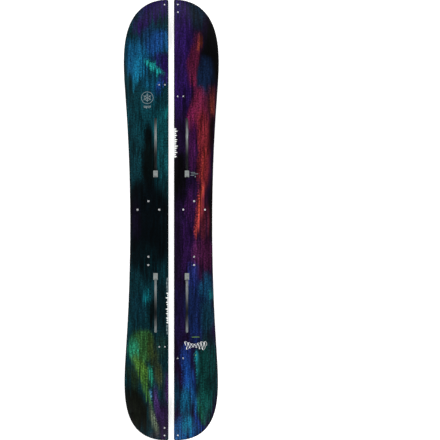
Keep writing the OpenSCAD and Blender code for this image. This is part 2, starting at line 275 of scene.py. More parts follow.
def boxAt(name, x, y, low, high, width, length):
    deselect()
    bpy.ops.mesh.primitive_cube_add(
        size=1, location=(x * mm, y * mm, (low + high) / 2 * mm),
        scale=(width * mm, length * mm, (high - low) * mm))
    bpy.ops.object.transform_apply(location=True, rotation=True, scale=True)
    return named(name)


def drumAt(name, x, y, low, high, radius, steps=48):
    deselect()
    bpy.ops.mesh.primitive_cylinder_add(
        vertices=steps, radius=radius * mm, depth=(high - low) * mm,
        location=(x * mm, y * mm, (low + high) / 2 * mm))
    bpy.ops.object.transform_apply(location=True, rotation=True, scale=True)
    return named(name)


def dressed(piece, material):
    piece.data.materials.clear()
    piece.data.materials.append(material)


def finished(piece, body, slot, material, *nodes):
    dressed(piece, material)
    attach(piece, body)
    if nodes:
        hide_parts(*nodes)
    return piece


def colour(code):
    parts = [int(code[i:i + 2], 16) / 255 for i in (1, 3, 5)]
    return tuple(c / 12.92 if c < 0.04045 else ((c + 0.055) / 1.055) ** 2.4 for c in parts) + (1,)


def add(tree, kind, settings=None, inputs=None):
    node = tree.nodes.new("ShaderNode" + kind)
    for key, value in (settings or {}).items():
        setattr(node, key, value)
    for key, value in (inputs or {}).items():
        if isinstance(value, bpy.types.NodeSocket):
            tree.links.new(value, node.inputs[key])
        else:
            node.inputs[key].default_value = value
    return node


def newMaterial(name):
    material = bpy.data.materials.new(name)
    material.use_nodes = True
    tree = material.node_tree
    return material, tree, tree.nodes["Principled BSDF"]


def wire(tree, shader, sources):
    for name, socket in sources.items():
        tree.links.new(socket, shader.inputs[name])


# Scale of a pattern whose repeat measures these millimetres across, along and up
def scaleFor(*sizes):
    return [1 / (size * mm) for size in sizes]


baseSheet = {"structure": (1.1, 83, 1000), "blotch": 110, "rough": (0.32, 0.5)}


# Sintered polyethylene, stone ground: a waxy sheet with fine lengthwise structure lines
def groundBase(name, main, mark):
    material, tree, shader = newMaterial(name)
    place = add(tree, "TexCoord").outputs["Object"]
    lines = add(tree, "Mapping", None, {"Vector": place, "Scale": scaleFor(*baseSheet["structure"])})
    structure = add(tree, "TexNoise", None, {"Vector": lines.outputs[0], "Scale": 1.0, "Detail": 3})
    blotch = add(tree, "TexNoise", None,
                 {"Vector": place, "Scale": 1 / (baseSheet["blotch"] * mm), "Detail": 5})
    ramp = add(tree, "Mix", {"data_type": "RGBA"},
               {0: structure.outputs[0], 6: colour(main), 7: colour(mark)})
    wax = add(tree, "Mix", {"data_type": "RGBA", "blend_type": "MULTIPLY"},
              {0: 0.25, 6: ramp.outputs[2], 7: blotch.outputs[0]})
    rough = add(tree, "MapRange", None,
                {0: structure.outputs[0], 3: baseSheet["rough"][0], 4: baseSheet["rough"][1]})
    bump = add(tree, "Bump", None, {"Height": structure.outputs[0], "Strength": 0.25, "Distance": 0.00008})
    wire(tree, shader, {
        "Base Color": wax.outputs[2], "Roughness": rough.outputs[0], "Normal": bump.outputs[0]})
    shader.inputs["IOR"].default_value = 1.51
    return material


# ABS, machined on the rim: satin black with fine tool lines along the board and faint scuffs
def machinedAbs(name, main, line, scuffSize=17):
    material, tree, shader = newMaterial(name)
    place = add(tree, "TexCoord").outputs["Object"]
    lines = add(tree, "Mapping", None, {"Vector": place, "Scale": scaleFor(*line)})
    tool = add(tree, "TexNoise", None, {"Vector": lines.outputs[0], "Scale": 1.0, "Detail": 4})
    scuff = add(tree, "TexNoise", None, {"Vector": place, "Scale": 1 / (scuffSize * mm), "Detail": 6})
    tone = add(tree, "MapRange", None, {0: scuff.outputs[0], 1: 0.35, 2: 0.75, 3: 0.75, 4: 1.6})
    mix = add(tree, "Mix", {"data_type": "RGBA", "blend_type": "MULTIPLY"},
              {0: 1.0, 6: colour(main), 7: tone.outputs[0]})
    rough = add(tree, "MapRange", None, {0: tool.outputs[0], 3: 0.4, 4: 0.6})
    bump = add(tree, "Bump", None, {"Height": tool.outputs[0], "Strength": 0.3, "Distance": 0.00006})
    wire(tree, shader, {
        "Base Color": mix.outputs[2], "Roughness": rough.outputs[0], "Normal": bump.outputs[0]})
    shader.inputs["Specular IOR Level"].default_value = 0.2
    return material


# Bare metal with a directional finish: fine scratches of the given size over slow clouds of tone
def workedMetal(name, main, dark, scratchSize, rough, metallic=1.0, cloudSize=25):
    material, tree, shader = newMaterial(name)
    place = add(tree, "TexCoord").outputs["Object"]
    lines = add(tree, "Mapping", None, {"Vector": place, "Scale": scaleFor(*scratchSize)})
    scratch = add(tree, "TexNoise", None, {"Vector": lines.outputs[0], "Scale": 1.0, "Detail": 5})
    cloud = add(tree, "TexNoise", None, {"Vector": place, "Scale": 1 / (cloudSize * mm), "Detail": 3})
    both = add(tree, "Math", {"operation": "MULTIPLY"}, {0: scratch.outputs[0], 1: cloud.outputs[0]})
    tone = add(tree, "MapRange", None, {0: both.outputs[0], 1: 0.1, 2: 0.42})
    mix = add(tree, "Mix", {"data_type": "RGBA"}, {0: tone.outputs[0], 6: colour(dark), 7: colour(main)})
    sheen = add(tree, "MapRange", None, {0: scratch.outputs[0], 3: rough[0], 4: rough[1]})
    bump = add(tree, "Bump", None, {"Height": scratch.outputs[0], "Strength": 0.3, "Distance": 0.00005})
    wire(tree, shader, {
        "Base Color": mix.outputs[2], "Roughness": sheen.outputs[0], "Normal": bump.outputs[0]})
    shader.inputs["Metallic"].default_value = metallic
    return material, tree, shader, mix


baseBlack = groundBase("sinteredPolyethyleneBlack", "#101011", "#1c1c1e")
baseWhite = groundBase("sinteredPolyethyleneWhite", "#efefec", "#dcdcd8")
sidewallAbs = machinedAbs("machinedAbsSidewall", "#0f0f11", (3.3, 40, 0.67))
spacerAbs = machinedAbs("mouldedAbsSpacer", "#131316", (2, 2, 1.1))
edgeSteel = workedMetal("groundEdgeSteel", "#b9bbbd", "#77797c", (0.67, 50, 1.1), (0.28, 0.42))[0]
# Zinc-plated inserts, their colour raised to nearly white and matt as a painted highlight, so they read as
# small bright dots
insertZincPaintedHighlight = workedMetal(
    "zincInsertPaintedHighlight", "#ffffff", "#f4f5f6", (1.4, 1.4, 0.19), (0.6, 0.8), 0.1)[0]
print("materials: base, sidewall and metals made")

# Poplar and paulownia strips glued upright: 15 mm strips, each its own tone, grain along the board
woodCore = {
    "light": "#d9bd8c", "dark": "#a98352", "grain": "#8a6238",
    "stripWidth": 15, "grainSize": (2.4, 110, 2.4),
}


def makeWoodCore():
    material, tree, shader = newMaterial("laminatedPoplarCore")
    place = add(tree, "TexCoord").outputs["Object"]
    x = add(tree, "SeparateXYZ", None, {0: place}).outputs[0]
    strip = add(tree, "Math", {"operation": "DIVIDE"}, {0: x, 1: woodCore["stripWidth"] * mm})
    whole = add(tree, "Math", {"operation": "FLOOR"}, {0: strip.outputs[0]})
    tint = add(tree, "TexWhiteNoise", {"noise_dimensions": "1D"}, {"W": whole.outputs[0]})
    long = add(tree, "Mapping", None, {"Vector": place, "Scale": scaleFor(*woodCore["grainSize"])})
    grain = add(tree, "TexNoise", None, {"Vector": long.outputs[0], "Scale": 1.0, "Detail": 6})
    lines = add(tree, "MapRange", None, {0: grain.outputs[0], 1: 0.45, 2: 0.75, 4: 0.5})
    base = add(tree, "Mix", {"data_type": "RGBA"},
               {0: tint.outputs[0], 6: colour(woodCore["light"]), 7: colour(woodCore["dark"])})
    mix = add(tree, "Mix", {"data_type": "RGBA"},
              {0: lines.outputs[0], 6: base.outputs[2], 7: colour(woodCore["grain"])})
    bump = add(tree, "Bump", None, {"Height": grain.outputs[0], "Strength": 0.2, "Distance": 0.0001})
    wire(tree, shader, {"Base Color": mix.outputs[2], "Normal": bump.outputs[0]})
    shader.inputs["Roughness"].default_value = 0.65
    return material


# Glass cloth set in epoxy: a faint 2 mm weave under a yellowish cured resin
glassCloth = {"resin": "#b9b99a", "yarn": "#d4d6c4", "pitch": 2}


def makeGlassCloth():
    material, tree, shader = newMaterial("glassEpoxyLaminate")
    place = add(tree, "TexCoord").outputs["Object"]
    turn = add(tree, "Mapping", None, {"Vector": place, "Rotation": (0, 0, math.radians(45))})
    scale = 1 / (glassCloth["pitch"] * mm * 3.2)
    warp = add(tree, "TexWave", {"bands_direction": "X"}, {"Vector": turn.outputs[0], "Scale": scale})
    weft = add(tree, "TexWave", {"bands_direction": "Y"}, {"Vector": turn.outputs[0], "Scale": scale})
    weave = add(tree, "Math", {"operation": "MAXIMUM"}, {0: warp.outputs[1], 1: weft.outputs[1]})
    mix = add(tree, "Mix", {"data_type": "RGBA"},
              {0: weave.outputs[0], 6: colour(glassCloth["resin"]), 7: colour(glassCloth["yarn"])})
    wire(tree, shader, {"Base Color": mix.outputs[2]})
    shader.inputs["Roughness"].default_value = 0.35
    return material


# Satin anodised extrusion with fine draw lines, and painted light along the slot: bright lengths are
# painted highlights, dark grey between them is painted shade
railPaintedLight = {
    # dark is painted shade in the channel; bright and dull are the metal's own tone
    "bright": "#eef3f3", "dull": "#ccd3d3", "dark": "#525657",
    # centre along the board, half length, strength of each painted highlight
    "lights": [(284, 76, 1.0), (-226, 84, 1.0), (-376, 62, 1.0)],
}


def makeRailPaintedLight():
    material, tree, shader, mix = workedMetal(
        "anodisedAluminiumRailPaintedHighlights", railPaintedLight["bright"], railPaintedLight["dull"], (0.4, 70, 1.1), (0.55, 0.7))
    place = add(tree, "TexCoord").outputs["Object"]
    y = add(tree, "SeparateXYZ", None, {0: place}).outputs[1]
    paintedHighlight = None
    for centre, reach, strength in railPaintedLight["lights"]:
        away = add(tree, "Math", {"operation": "SUBTRACT"}, {0: y, 1: centre * mm})
        size = add(tree, "Math", {"operation": "ABSOLUTE"}, {0: away.outputs[0]})
        glow = add(tree, "MapRange", {"interpolation_type": "SMOOTHSTEP"},
                   {0: size.outputs[0], 1: 0.0, 2: reach * mm, 3: strength, 4: 0.0})
        if paintedHighlight is None:
            paintedHighlight = glow
        else:
            paintedHighlight = add(tree, "Math", {"operation": "MAXIMUM"}, {0: paintedHighlight.outputs[0], 1: glow.outputs[0]})
    # painted shade: away from the painted highlights the rail turns dark grey
    tone = add(tree, "Mix", {"data_type": "RGBA"},
               {0: paintedHighlight.outputs[0], 6: colour(railPaintedLight["dark"]), 7: mix.outputs[2]})
    wire(tree, shader, {"Base Color": tone.outputs[2]})
    return material


# Moulded nylon: pale grey, fine spark-eroded texture, slightly waxy
plugNylon = {"main": "#8d9391", "dark": "#6e7472", "grain": 0.35, "cloud": 8}


def makePlugNylon():
    material, tree, shader = newMaterial("mouldedNylonPlug")
    place = add(tree, "TexCoord").outputs["Object"]
    grain = add(tree, "TexNoise", None,
                {"Vector": place, "Scale": 1 / (plugNylon["grain"] * mm), "Detail": 3})
    cloud = add(tree, "TexNoise", None,
                {"Vector": place, "Scale": 1 / (plugNylon["cloud"] * mm), "Detail": 2})
    mix = add(tree, "Mix", {"data_type": "RGBA"},
              {0: cloud.outputs[0], 6: colour(plugNylon["dark"]), 7: colour(plugNylon["main"])})
    bump = add(tree, "Bump", None, {"Height": grain.outputs[0], "Strength": 0.35, "Distance": 0.0001})
    rough = add(tree, "MapRange", None, {0: grain.outputs[0], 3: 0.4, 4: 0.6})
    wire(tree, shader, {
        "Base Color": mix.outputs[2], "Roughness": rough.outputs[0], "Normal": bump.outputs[0]})
    return material


coreWood = makeWoodCore()
laminateGlass = makeGlassCloth()
railAluminium = makeRailPaintedLight()
plugPlastic = makePlugNylon()
print("materials: core, laminate, rail and plug made")

# The printed artwork of each half, under a gloss sheet: paint washes one over the other on a dark ground.
# A wash is colour, u, y, half width, half length, turn in degrees, strength, edge (1 soft, 0.3 firm).
artwork = {
    "left": {"ground": "#06282f", "washes": [
        # nose: violet tip, blue wash, teal patch
        ("#1d0f44", 42, 712, 75, 52, 0, 1.0, 0.6),
        ("#26104e", 92, 665, 34, 52, 20, 0.9, 0.7),
        ("#0f2e4e", 72, 625, 40, 62, 15, 0.9, 0.7),
        ("#174580", 42, 596, 44, 78, 22, 0.95, 0.7),
        ("#1c5a90", 8, 592, 16, 58, 0, 0.7, 0.8),
        ("#1f4f94", 44, 610, 14, 60, 26, 0.45, 1.0),
        ("#1e1a56", 38, 535, 26, 36, 10, 0.8, 0.8),
        ("#23104e", 12, 508, 26, 62, 0, 0.95, 0.6),
        ("#0e4c70", 104, 545, 50, 90, 0, 0.95, 0.6),
        ("#10688c", 102, 512, 26, 62, 8, 0.85, 0.9),
        ("#127496", 112, 470, 16, 50, 6, 0.5, 1.0),
        ("#0b4560", 64, 440, 50, 78, 0, 0.85, 0.7),
        ("#183a84", 30, 452, 18, 46, 12, 0.7, 0.9),
        ("#188a8a", 48, 510, 12, 50, -59, 0.9, 0.7),
        ("#22a098", 70, 523, 12, 22, -52, 0.6, 1.0),
        # dark teal field with its black band
        ("#07353e", 82, 345, 78, 120, 0, 0.9, 0.5),
        ("#0b464c", 22, 310, 34, 95, 0, 0.8, 0.8),
        ("#118080", 3, 366, 10, 30, 0, 0.8, 1.0),
        ("#09323a", 104, 235, 34, 95, 0, 0.8, 0.7),
        ("#0c444a", 12, 205, 30, 105, 0, 0.85, 0.7),
        ("#020607", 66, 286, 22, 56, 0, 0.95, 0.6),
        ("#030808", 66, 185, 34, 110, 0, 0.97, 0.5),
        ("#092f33", 12, 95, 26, 70, 0, 0.6, 0.9),
        ("#02060a", 70, -20, 105, 190, 0, 0.98, 0.35),
        ("#0d0719", 112, 5, 26, 95, 0, 0.8, 0.8),
        ("#041a1e", 70, -110, 50, 70, 0, 0.5, 1.0),
        # teal glow ahead of the tail
        ("#072b36", 98, -285, 42, 85, 0, 0.85, 0.7),
        ("#0a5f6a", 78, -250, 17, 50, 0, 0.8, 0.9),
        ("#0d8890", 76, -256, 8, 26, 0, 0.6, 1.0),
        ("#020607", 54, -310, 16, 85, 0, 0.9, 0.7),
        ("#05161c", 22, -300, 30, 130, 0, 0.9, 0.6),
        # green tail
        ("#28502a", 90, -420, 48, 66, 0, 1.0, 0.35),
        ("#142e2a", 22, -425, 28, 66, 0, 0.85, 0.7),
        ("#2b3416", 56, -445, 24, 80, -6, 0.85, 0.7),
        ("#248060", 116, -432, 24, 56, 0, 0.95, 0.7),
        ("#3c5e1e", 90, -508, 32, 78, -24, 0.85, 0.7),
        ("#3a4224", 36, -520, 22, 60, -8, 0.8, 0.8),
        ("#3a2254", 6, -560, 17, 62, 0, 0.9, 0.8),
        ("#1e1030", 16, -672, 40, 90, 0, 1.0, 0.5),
        ("#090d07", 122, -640, 62, 108, -16, 1.0, 0.4),
        ("#1c2a10", 122, -530, 26, 60, -20, 0.8, 0.8),
        ("#4f8034", 104, -492, 15, 50, -30, 0.8, 1.0),
        ("#4c8036", 80, -546, 13, 54, -17, 0.85, 1.0),
        ("#1f8a70", 60, -524, 12, 54, -6, 0.85, 1.0),
        ("#432a62", 38, -618, 15, 74, -8, 0.75, 1.0),
        ("#3e6ca2", 59, -598, 8, 26, -10, 0.85, 1.0),
        ("#4c8640", 70, -592, 13, 66, -20, 0.85, 1.0),
        ("#5e6a56", 50, -674, 15, 66, -15, 0.9, 0.9),
        ("#3a3038", 48, -716, 26, 22, 0, 0.6, 1.0),
    ]},
    "right": {"ground": "#160a26", "washes": [
        # nose: navy tip, black rim, violet seam
        ("#0b1b2a", 62, 700, 75, 62, 0, 1.0, 0.6),
        ("#241048", 14, 560, 66, 240, 0, 1.0, 0.35),
        ("#281552", 32, 618, 24, 72, 0, 0.8, 0.9),
        ("#1d144c", 8, 700, 34, 44, 0, 0.8, 0.8),
        ("#040405", 138, 575, 62, 170, -6, 1.0, 0.4),
        ("#0e1e38", 104, 482, 38, 84, 0, 0.95, 0.6),
        ("#14294a", 98, 440, 18, 42, 0, 0.7, 1.0),
        ("#4e142c", 68, 545, 24, 120, -8, 0.9, 0.6),
        ("#6a2c18", 86, 612, 12, 48, -6, 0.65, 1.0),
        ("#7c361c", 86, 602, 7, 24, -6, 0.35, 1.0),
        ("#6a1b36", 70, 470, 13, 60, -4, 0.7, 0.9),
        # crimson field with its orange streak
        ("#66281a", 126, 390, 26, 76, 0, 0.8, 1.0),
        ("#661c38", 82, 352, 40, 104, -4, 0.95, 0.5),
        ("#74222a", 98, 290, 32, 105, 0, 0.9, 0.6),
        ("#6c1a44", 56, 350, 18, 55, -10, 0.7, 0.8),
        ("#36104c", 66, 292, 16, 55, 0, 0.85, 0.8),
        ("#421444", 58, 240, 22, 90, 0, 0.85, 0.7),
        ("#120507", 126, 300, 16, 84, 0, 0.95, 0.7),
        ("#661c22", 100, 175, 32, 105, 0, 0.9, 0.6),
        ("#903226", 97, 165, 9, 120, -5, 0.5, 1.0),
        ("#160a26", 14, 265, 34, 75, 0, 0.9, 0.7),
        ("#050408", 16, 145, 34, 105, -4, 1.0, 0.5),
        ("#0b0508", 126, 40, 15, 150, 0, 0.95, 0.6),
        ("#4a1826", 104, 0, 22, 110, 0, 0.9, 0.7),
        ("#331240", 56, 60, 24, 90, -6, 0.9, 0.7),
        ("#260f3a", 44, -95, 40, 115, 0, 0.95, 0.5),
        ("#170a24", 10, -110, 26, 170, 0, 0.9, 0.6),
        ("#8a2e34", 87, 48, 18, 100, -8, 0.9, 0.8),
        ("#c04a32", 89, 62, 9, 76, -8, 0.85, 1.0),
        ("#b04038", 79, -12, 10, 50, -6, 0.75, 1.0),
        ("#3c1232", 104, -115, 32, 78, 0, 0.9, 0.6),
        ("#54204a", 76, -112, 24, 86, 0, 0.8, 1.0),
        # blue and teal tail
        ("#0f1d42", 76, -290, 62, 110, 0, 1.0, 0.4),
        ("#1b2a66", 66, -182, 28, 52, 8, 0.85, 0.7),
        ("#0e3c58", 108, -222, 30, 62, 0, 0.9, 0.7),
        ("#0e6268", 124, -242, 12, 34, 0, 0.7, 1.0),
        ("#0a303c", 110, -320, 32, 90, 0, 0.85, 0.7),
        ("#160e30", 12, -320, 36, 125, 0, 0.95, 0.6),
        ("#12295e", 74, -385, 30, 60, 0, 0.7, 0.9),
        ("#06322f", 112, -520, 48, 165, 0, 0.97, 0.5),
        ("#03171a", 124, -545, 14, 40, 0, 0.7, 0.9),
        ("#0d4c46", 104, -610, 34, 72, 12, 0.8, 0.8),
        ("#0f5e48", 88, -645, 16, 66, 18, 0.8, 1.0),
        ("#163272", 44, -465, 30, 66, 4, 0.8, 0.8),
        ("#164288", 50, -535, 24, 92, 5, 0.95, 0.6),
        ("#0c5474", 38, -612, 30, 70, 0, 0.85, 0.8),
        ("#145084", 64, -600, 15, 84, 14, 0.8, 1.0),
        ("#1a8a98", 77, -464, 9, 40, 0, 0.8, 1.0),
        ("#146872", 79, -515, 9, 70, 0, 0.75, 1.0),
        ("#12487c", 34, -705, 66, 52, 0, 0.95, 0.5),
        ("#083448", 8, -580, 20, 74, 0, 0.85, 0.8),
        ("#0d708a", 46, -688, 26, 44, 8, 0.85, 0.9),
        ("#14408c", 84, -680, 12, 50, 26, 0.75, 1.0),
    ]},
}
brush = {
    "bigWarp": (9, 34), "bigSize": 90,        # wandering of a wash's edge across and along, and its size
    "bristle": 2.4, "bristleLength": 110,     # width and length of a bristle mark
    "bristlePull": 12, "spray": 9,            # how far bristles and spray scatter a wash's edge
    "dryness": 0.6,                           # how strongly bristles fray a wash, 0 smooth to 1 bare
    "speckle": 5,                             # print grain; the real 1 mm grain would not show
    "hatch": (8, 80), "hatchTurn": 27,        # width, length and slant of the crossing scrub marks
    "level": 0.79,                            # how light the whole print is
}


def makeArtwork(side):
    material, tree, shader = newMaterial("glossyPrintedTopSheet_" + side)
    sign = sides[side]
    place = add(tree, "TexCoord").outputs["Object"]
    flat = add(tree, "Mapping", None, {
        "Vector": place, "Location": (-deck["seamGap"] / 2, 0, 0), "Scale": (sign / mm, 1 / mm, 0)})
    near = add(tree, "TexNoise", {"noise_dimensions": "2D"},
               {"Vector": flat.outputs[0], "Scale": 1 / brush["bigSize"], "Detail": 2, "Roughness": 0.5})
    fine = add(tree, "Mapping", None, {
        "Vector": flat.outputs[0], "Rotation": (0, 0, math.radians(4 * sign)),
        "Scale": (1 / brush["bristle"], 1 / brush["bristleLength"], 1)})
    bristles = add(tree, "TexNoise", {"noise_dimensions": "2D"},
                   {"Vector": fine.outputs[0], "Scale": 0.5, "Detail": 4, "Roughness": 0.6})
    pull = add(tree, "MapRange", None, {0: bristles.outputs[0], 1: 0.25, 2: 0.75,
                                        3: -brush["bristlePull"], 4: brush["bristlePull"]})
    pulled = add(tree, "CombineXYZ", None, {1: pull.outputs[0]})
    grain = add(tree, "TexNoise", {"noise_dimensions": "2D"},
                {"Vector": flat.outputs[0], "Scale": 1 / brush["speckle"], "Detail": 3, "Roughness": 0.7})

    # the colour of a noise as a shift, up to across and along either way
    def shift(noise, across, along):
        centred = add(tree, "VectorMath", {"operation": "SUBTRACT"},
                      {0: noise.outputs[1], 1: (0.5, 0.5, 0.5)})
        return add(tree, "VectorMath", {"operation": "MULTIPLY"},
                   {0: centred.outputs[0], 1: (2 * across, 2 * along, 0)}).outputs[0]

    moved = flat.outputs[0]
    scatter = shift(grain, brush["spray"], brush["spray"])
    for move in (shift(near, *brush["bigWarp"]), pulled.outputs[0], scatter):
        moved = add(tree, "VectorMath", {"operation": "ADD"}, {0: moved, 1: move}).outputs[0]
    fray = add(tree, "MapRange", None, {0: bristles.outputs[0], 1: 0.3, 2: 0.7,
                                        3: 1 - brush["dryness"], 4: 1 + brush["dryness"]})
    paint = add(tree, "RGB")
    paint.outputs[0].default_value = colour(artwork[side]["ground"])
    paint = paint.outputs[0]
    for code, u, y, width, length, turn, strength, edge in artwork[side]["washes"]:
        spot = add(tree, "Mapping", {"vector_type": "TEXTURE"}, {
            "Vector": moved, "Location": (u, y, 0),
            "Rotation": (0, 0, math.radians(turn)), "Scale": (width, length, 1)})
        ball = add(tree, "TexGradient", {"gradient_type": "SPHERICAL"}, {"Vector": spot.outputs[0]})
        frayed = add(tree, "Math", {"operation": "MULTIPLY"}, {0: ball.outputs[1], 1: fray.outputs[0]})
        share = add(tree, "MapRange", {"interpolation_type": "SMOOTHSTEP"},
                    {0: frayed.outputs[0], 1: 0.0, 2: edge, 3: 0.0, 4: strength})
        paint = add(tree, "Mix", {"data_type": "RGBA"},
                    {0: share.outputs[0], 6: paint, 7: colour(code)}).outputs[2]
    value = add(tree, "MapRange", None, {
        0: bristles.outputs[0], 1: 0.3, 2: 0.72, 3: 0.78 * brush["level"], 4: 1.22 * brush["level"]})
    for turn in (brush["hatchTurn"], -brush["hatchTurn"]):
        slant = add(tree, "Mapping", None, {
            "Vector": flat.outputs[0], "Rotation": (0, 0, math.radians(turn)),
            "Scale": (1 / brush["hatch"][0], 1 / brush["hatch"][1], 1)})
        hatch = add(tree, "TexNoise", {"noise_dimensions": "2D"},
                    {"Vector": slant.outputs[0], "Scale": 1.0, "Detail": 5, "Roughness": 0.7})
        cross = add(tree, "MapRange", None, {0: hatch.outputs[0], 1: 0.34, 2: 0.66, 3: 0.55, 4: 1.45})
        value = add(tree, "Math", {"operation": "MULTIPLY"}, {0: value.outputs[0], 1: cross.outputs[0]})
    dust = add(tree, "MapRange", None, {0: grain.outputs[0], 1: 0.33, 2: 0.67, 3: 0.35, 4: 1.65})
    value = add(tree, "Math", {"operation": "MULTIPLY"}, {0: value.outputs[0], 1: dust.outputs[0]})
    final = add(tree, "VectorMath", {"operation": "SCALE"}, {0: paint, "Scale": value.outputs[0]})
    wire(tree, shader, {"Base Color": final.outputs[0]})
    shader.inputs["Roughness"].default_value = 0.3
    shader.inputs["IOR"].default_value = 1.2
    shader.inputs["Coat Weight"].default_value = 0.2
    shader.inputs["Coat IOR"].default_value = 1.3
    shader.inputs["Coat Roughness"].default_value = 0.12
    return material


topSheetPrint = {side: makeArtwork(side) for side in sides}
print("materials: top sheet artwork made")

# Rails, plugs and inserts, the same as the CAD
hardware = {
    "railU": 43.8, "railStart": {"nose": 143.5, "tail": -178.5}, "slotLength": 200, "mouth": 7.6,
    "portWidth": 15, "portLength": 23, "plugGap": 0.2,
    "reveal": 0.05,              # how far the sheet stands back from a slot
    # radii of an insert and its hole, and how much of the barrel the sheet leaves bare
    "large": {"barrel": 3.9, "hole": 2.5, "rim": 0.7}, "small": {"barrel": 3.1, "hole": 2.1, "rim": 0.4},
    "flangeLip": 2.6, "flange": 0.9, "bottom": 2.4, "underSheet": 0.62,
    "floor": 0.7,                # least height of the bottom of an insert's hole
    "spacerHole": 6.4, "clipY": (723, 698),
}
# u and y of every insert
largePlaces = {
    "bracket_inserts": [(67.9, 63.3), (31.5, 34.7), (104.3, 34.7)],
    "riser_inserts": [(67.9, -123.5), (67.9, -151.3)],
}
smallPlaces = {
    "left": {
        "nose_hook_inserts": [(12.3, 454.55), (31.3, 454.55)],
        "tail_hook_inserts": [(12.3, -426.05), (31.3, -426.05)],
        "nose_clip_inserts": [(13.4, 723)],
        "tail_clip_inserts": [(13.4, -723), (13.4, -698)],
    },
    "right": {
        "nose_hook_inserts": [(12.3, 415.85), (31.3, 415.85)],
        "tail_hook_inserts": [(12.3, -464.75), (31.3, -464.75)],
        "nose_clip_inserts": [(13.4, 723), (13.4, 698)],
        "tail_clip_inserts": [(13.4, -723)],
    },
}


# Stadium from the port end to the slot's round end, for cutting the mouth
def slotCutter(sign, end, halfWidth):
    way = 1 if end == "nose" else -1
    start = hardware["railStart"][end]
    centre = start + way * (hardware["slotLength"] - hardware["mouth"] / 2)
    cutter = drumAt("cutter", xOf(sign, hardware["railU"]), centre, *deck["cut"], halfWidth, 64)
    for v in cutter.data.vertices:
        if way * (v.co.y - centre * mm) < 0.0002:
            v.co.y = (start + way) * mm
    return cutter


def portCutter(sign, end):
    way = 1 if end == "nose" else -1
    y = hardware["railStart"][end] + way * hardware["portLength"] / 2
    return boxAt("cutter", xOf(sign, hardware["railU"]), y, *deck["cut"],
                 hardware["portWidth"] + 2 * hardware["reveal"],
                 hardware["portLength"] + 2 * hardware["reveal"])


def insertCutters(side, sign):
    cutters = []
    places = [(p, "large") for ps in largePlaces.values() for p in ps]
    places += [(p, "small") for ps in smallPlaces[side].values() for p in ps]
    for (u, y), size in places:
        radius = hardware[size]["hole"] + hardware[size]["rim"]
        cutters.append(drumAt("cutter", xOf(sign, u), y, *deck["cut"], radius, 40))
    return cutters


discs = {"radius": 49, "u": 74, "y": 505}
cadFinishes = {
    "lower_laminate": laminateGlass, "upper_laminate": laminateGlass,
    "core_inner": coreWood, "core_middle": coreWood, "core_outer": coreWood,
    "nose_rail": railAluminium, "tail_rail": railAluminium,
}

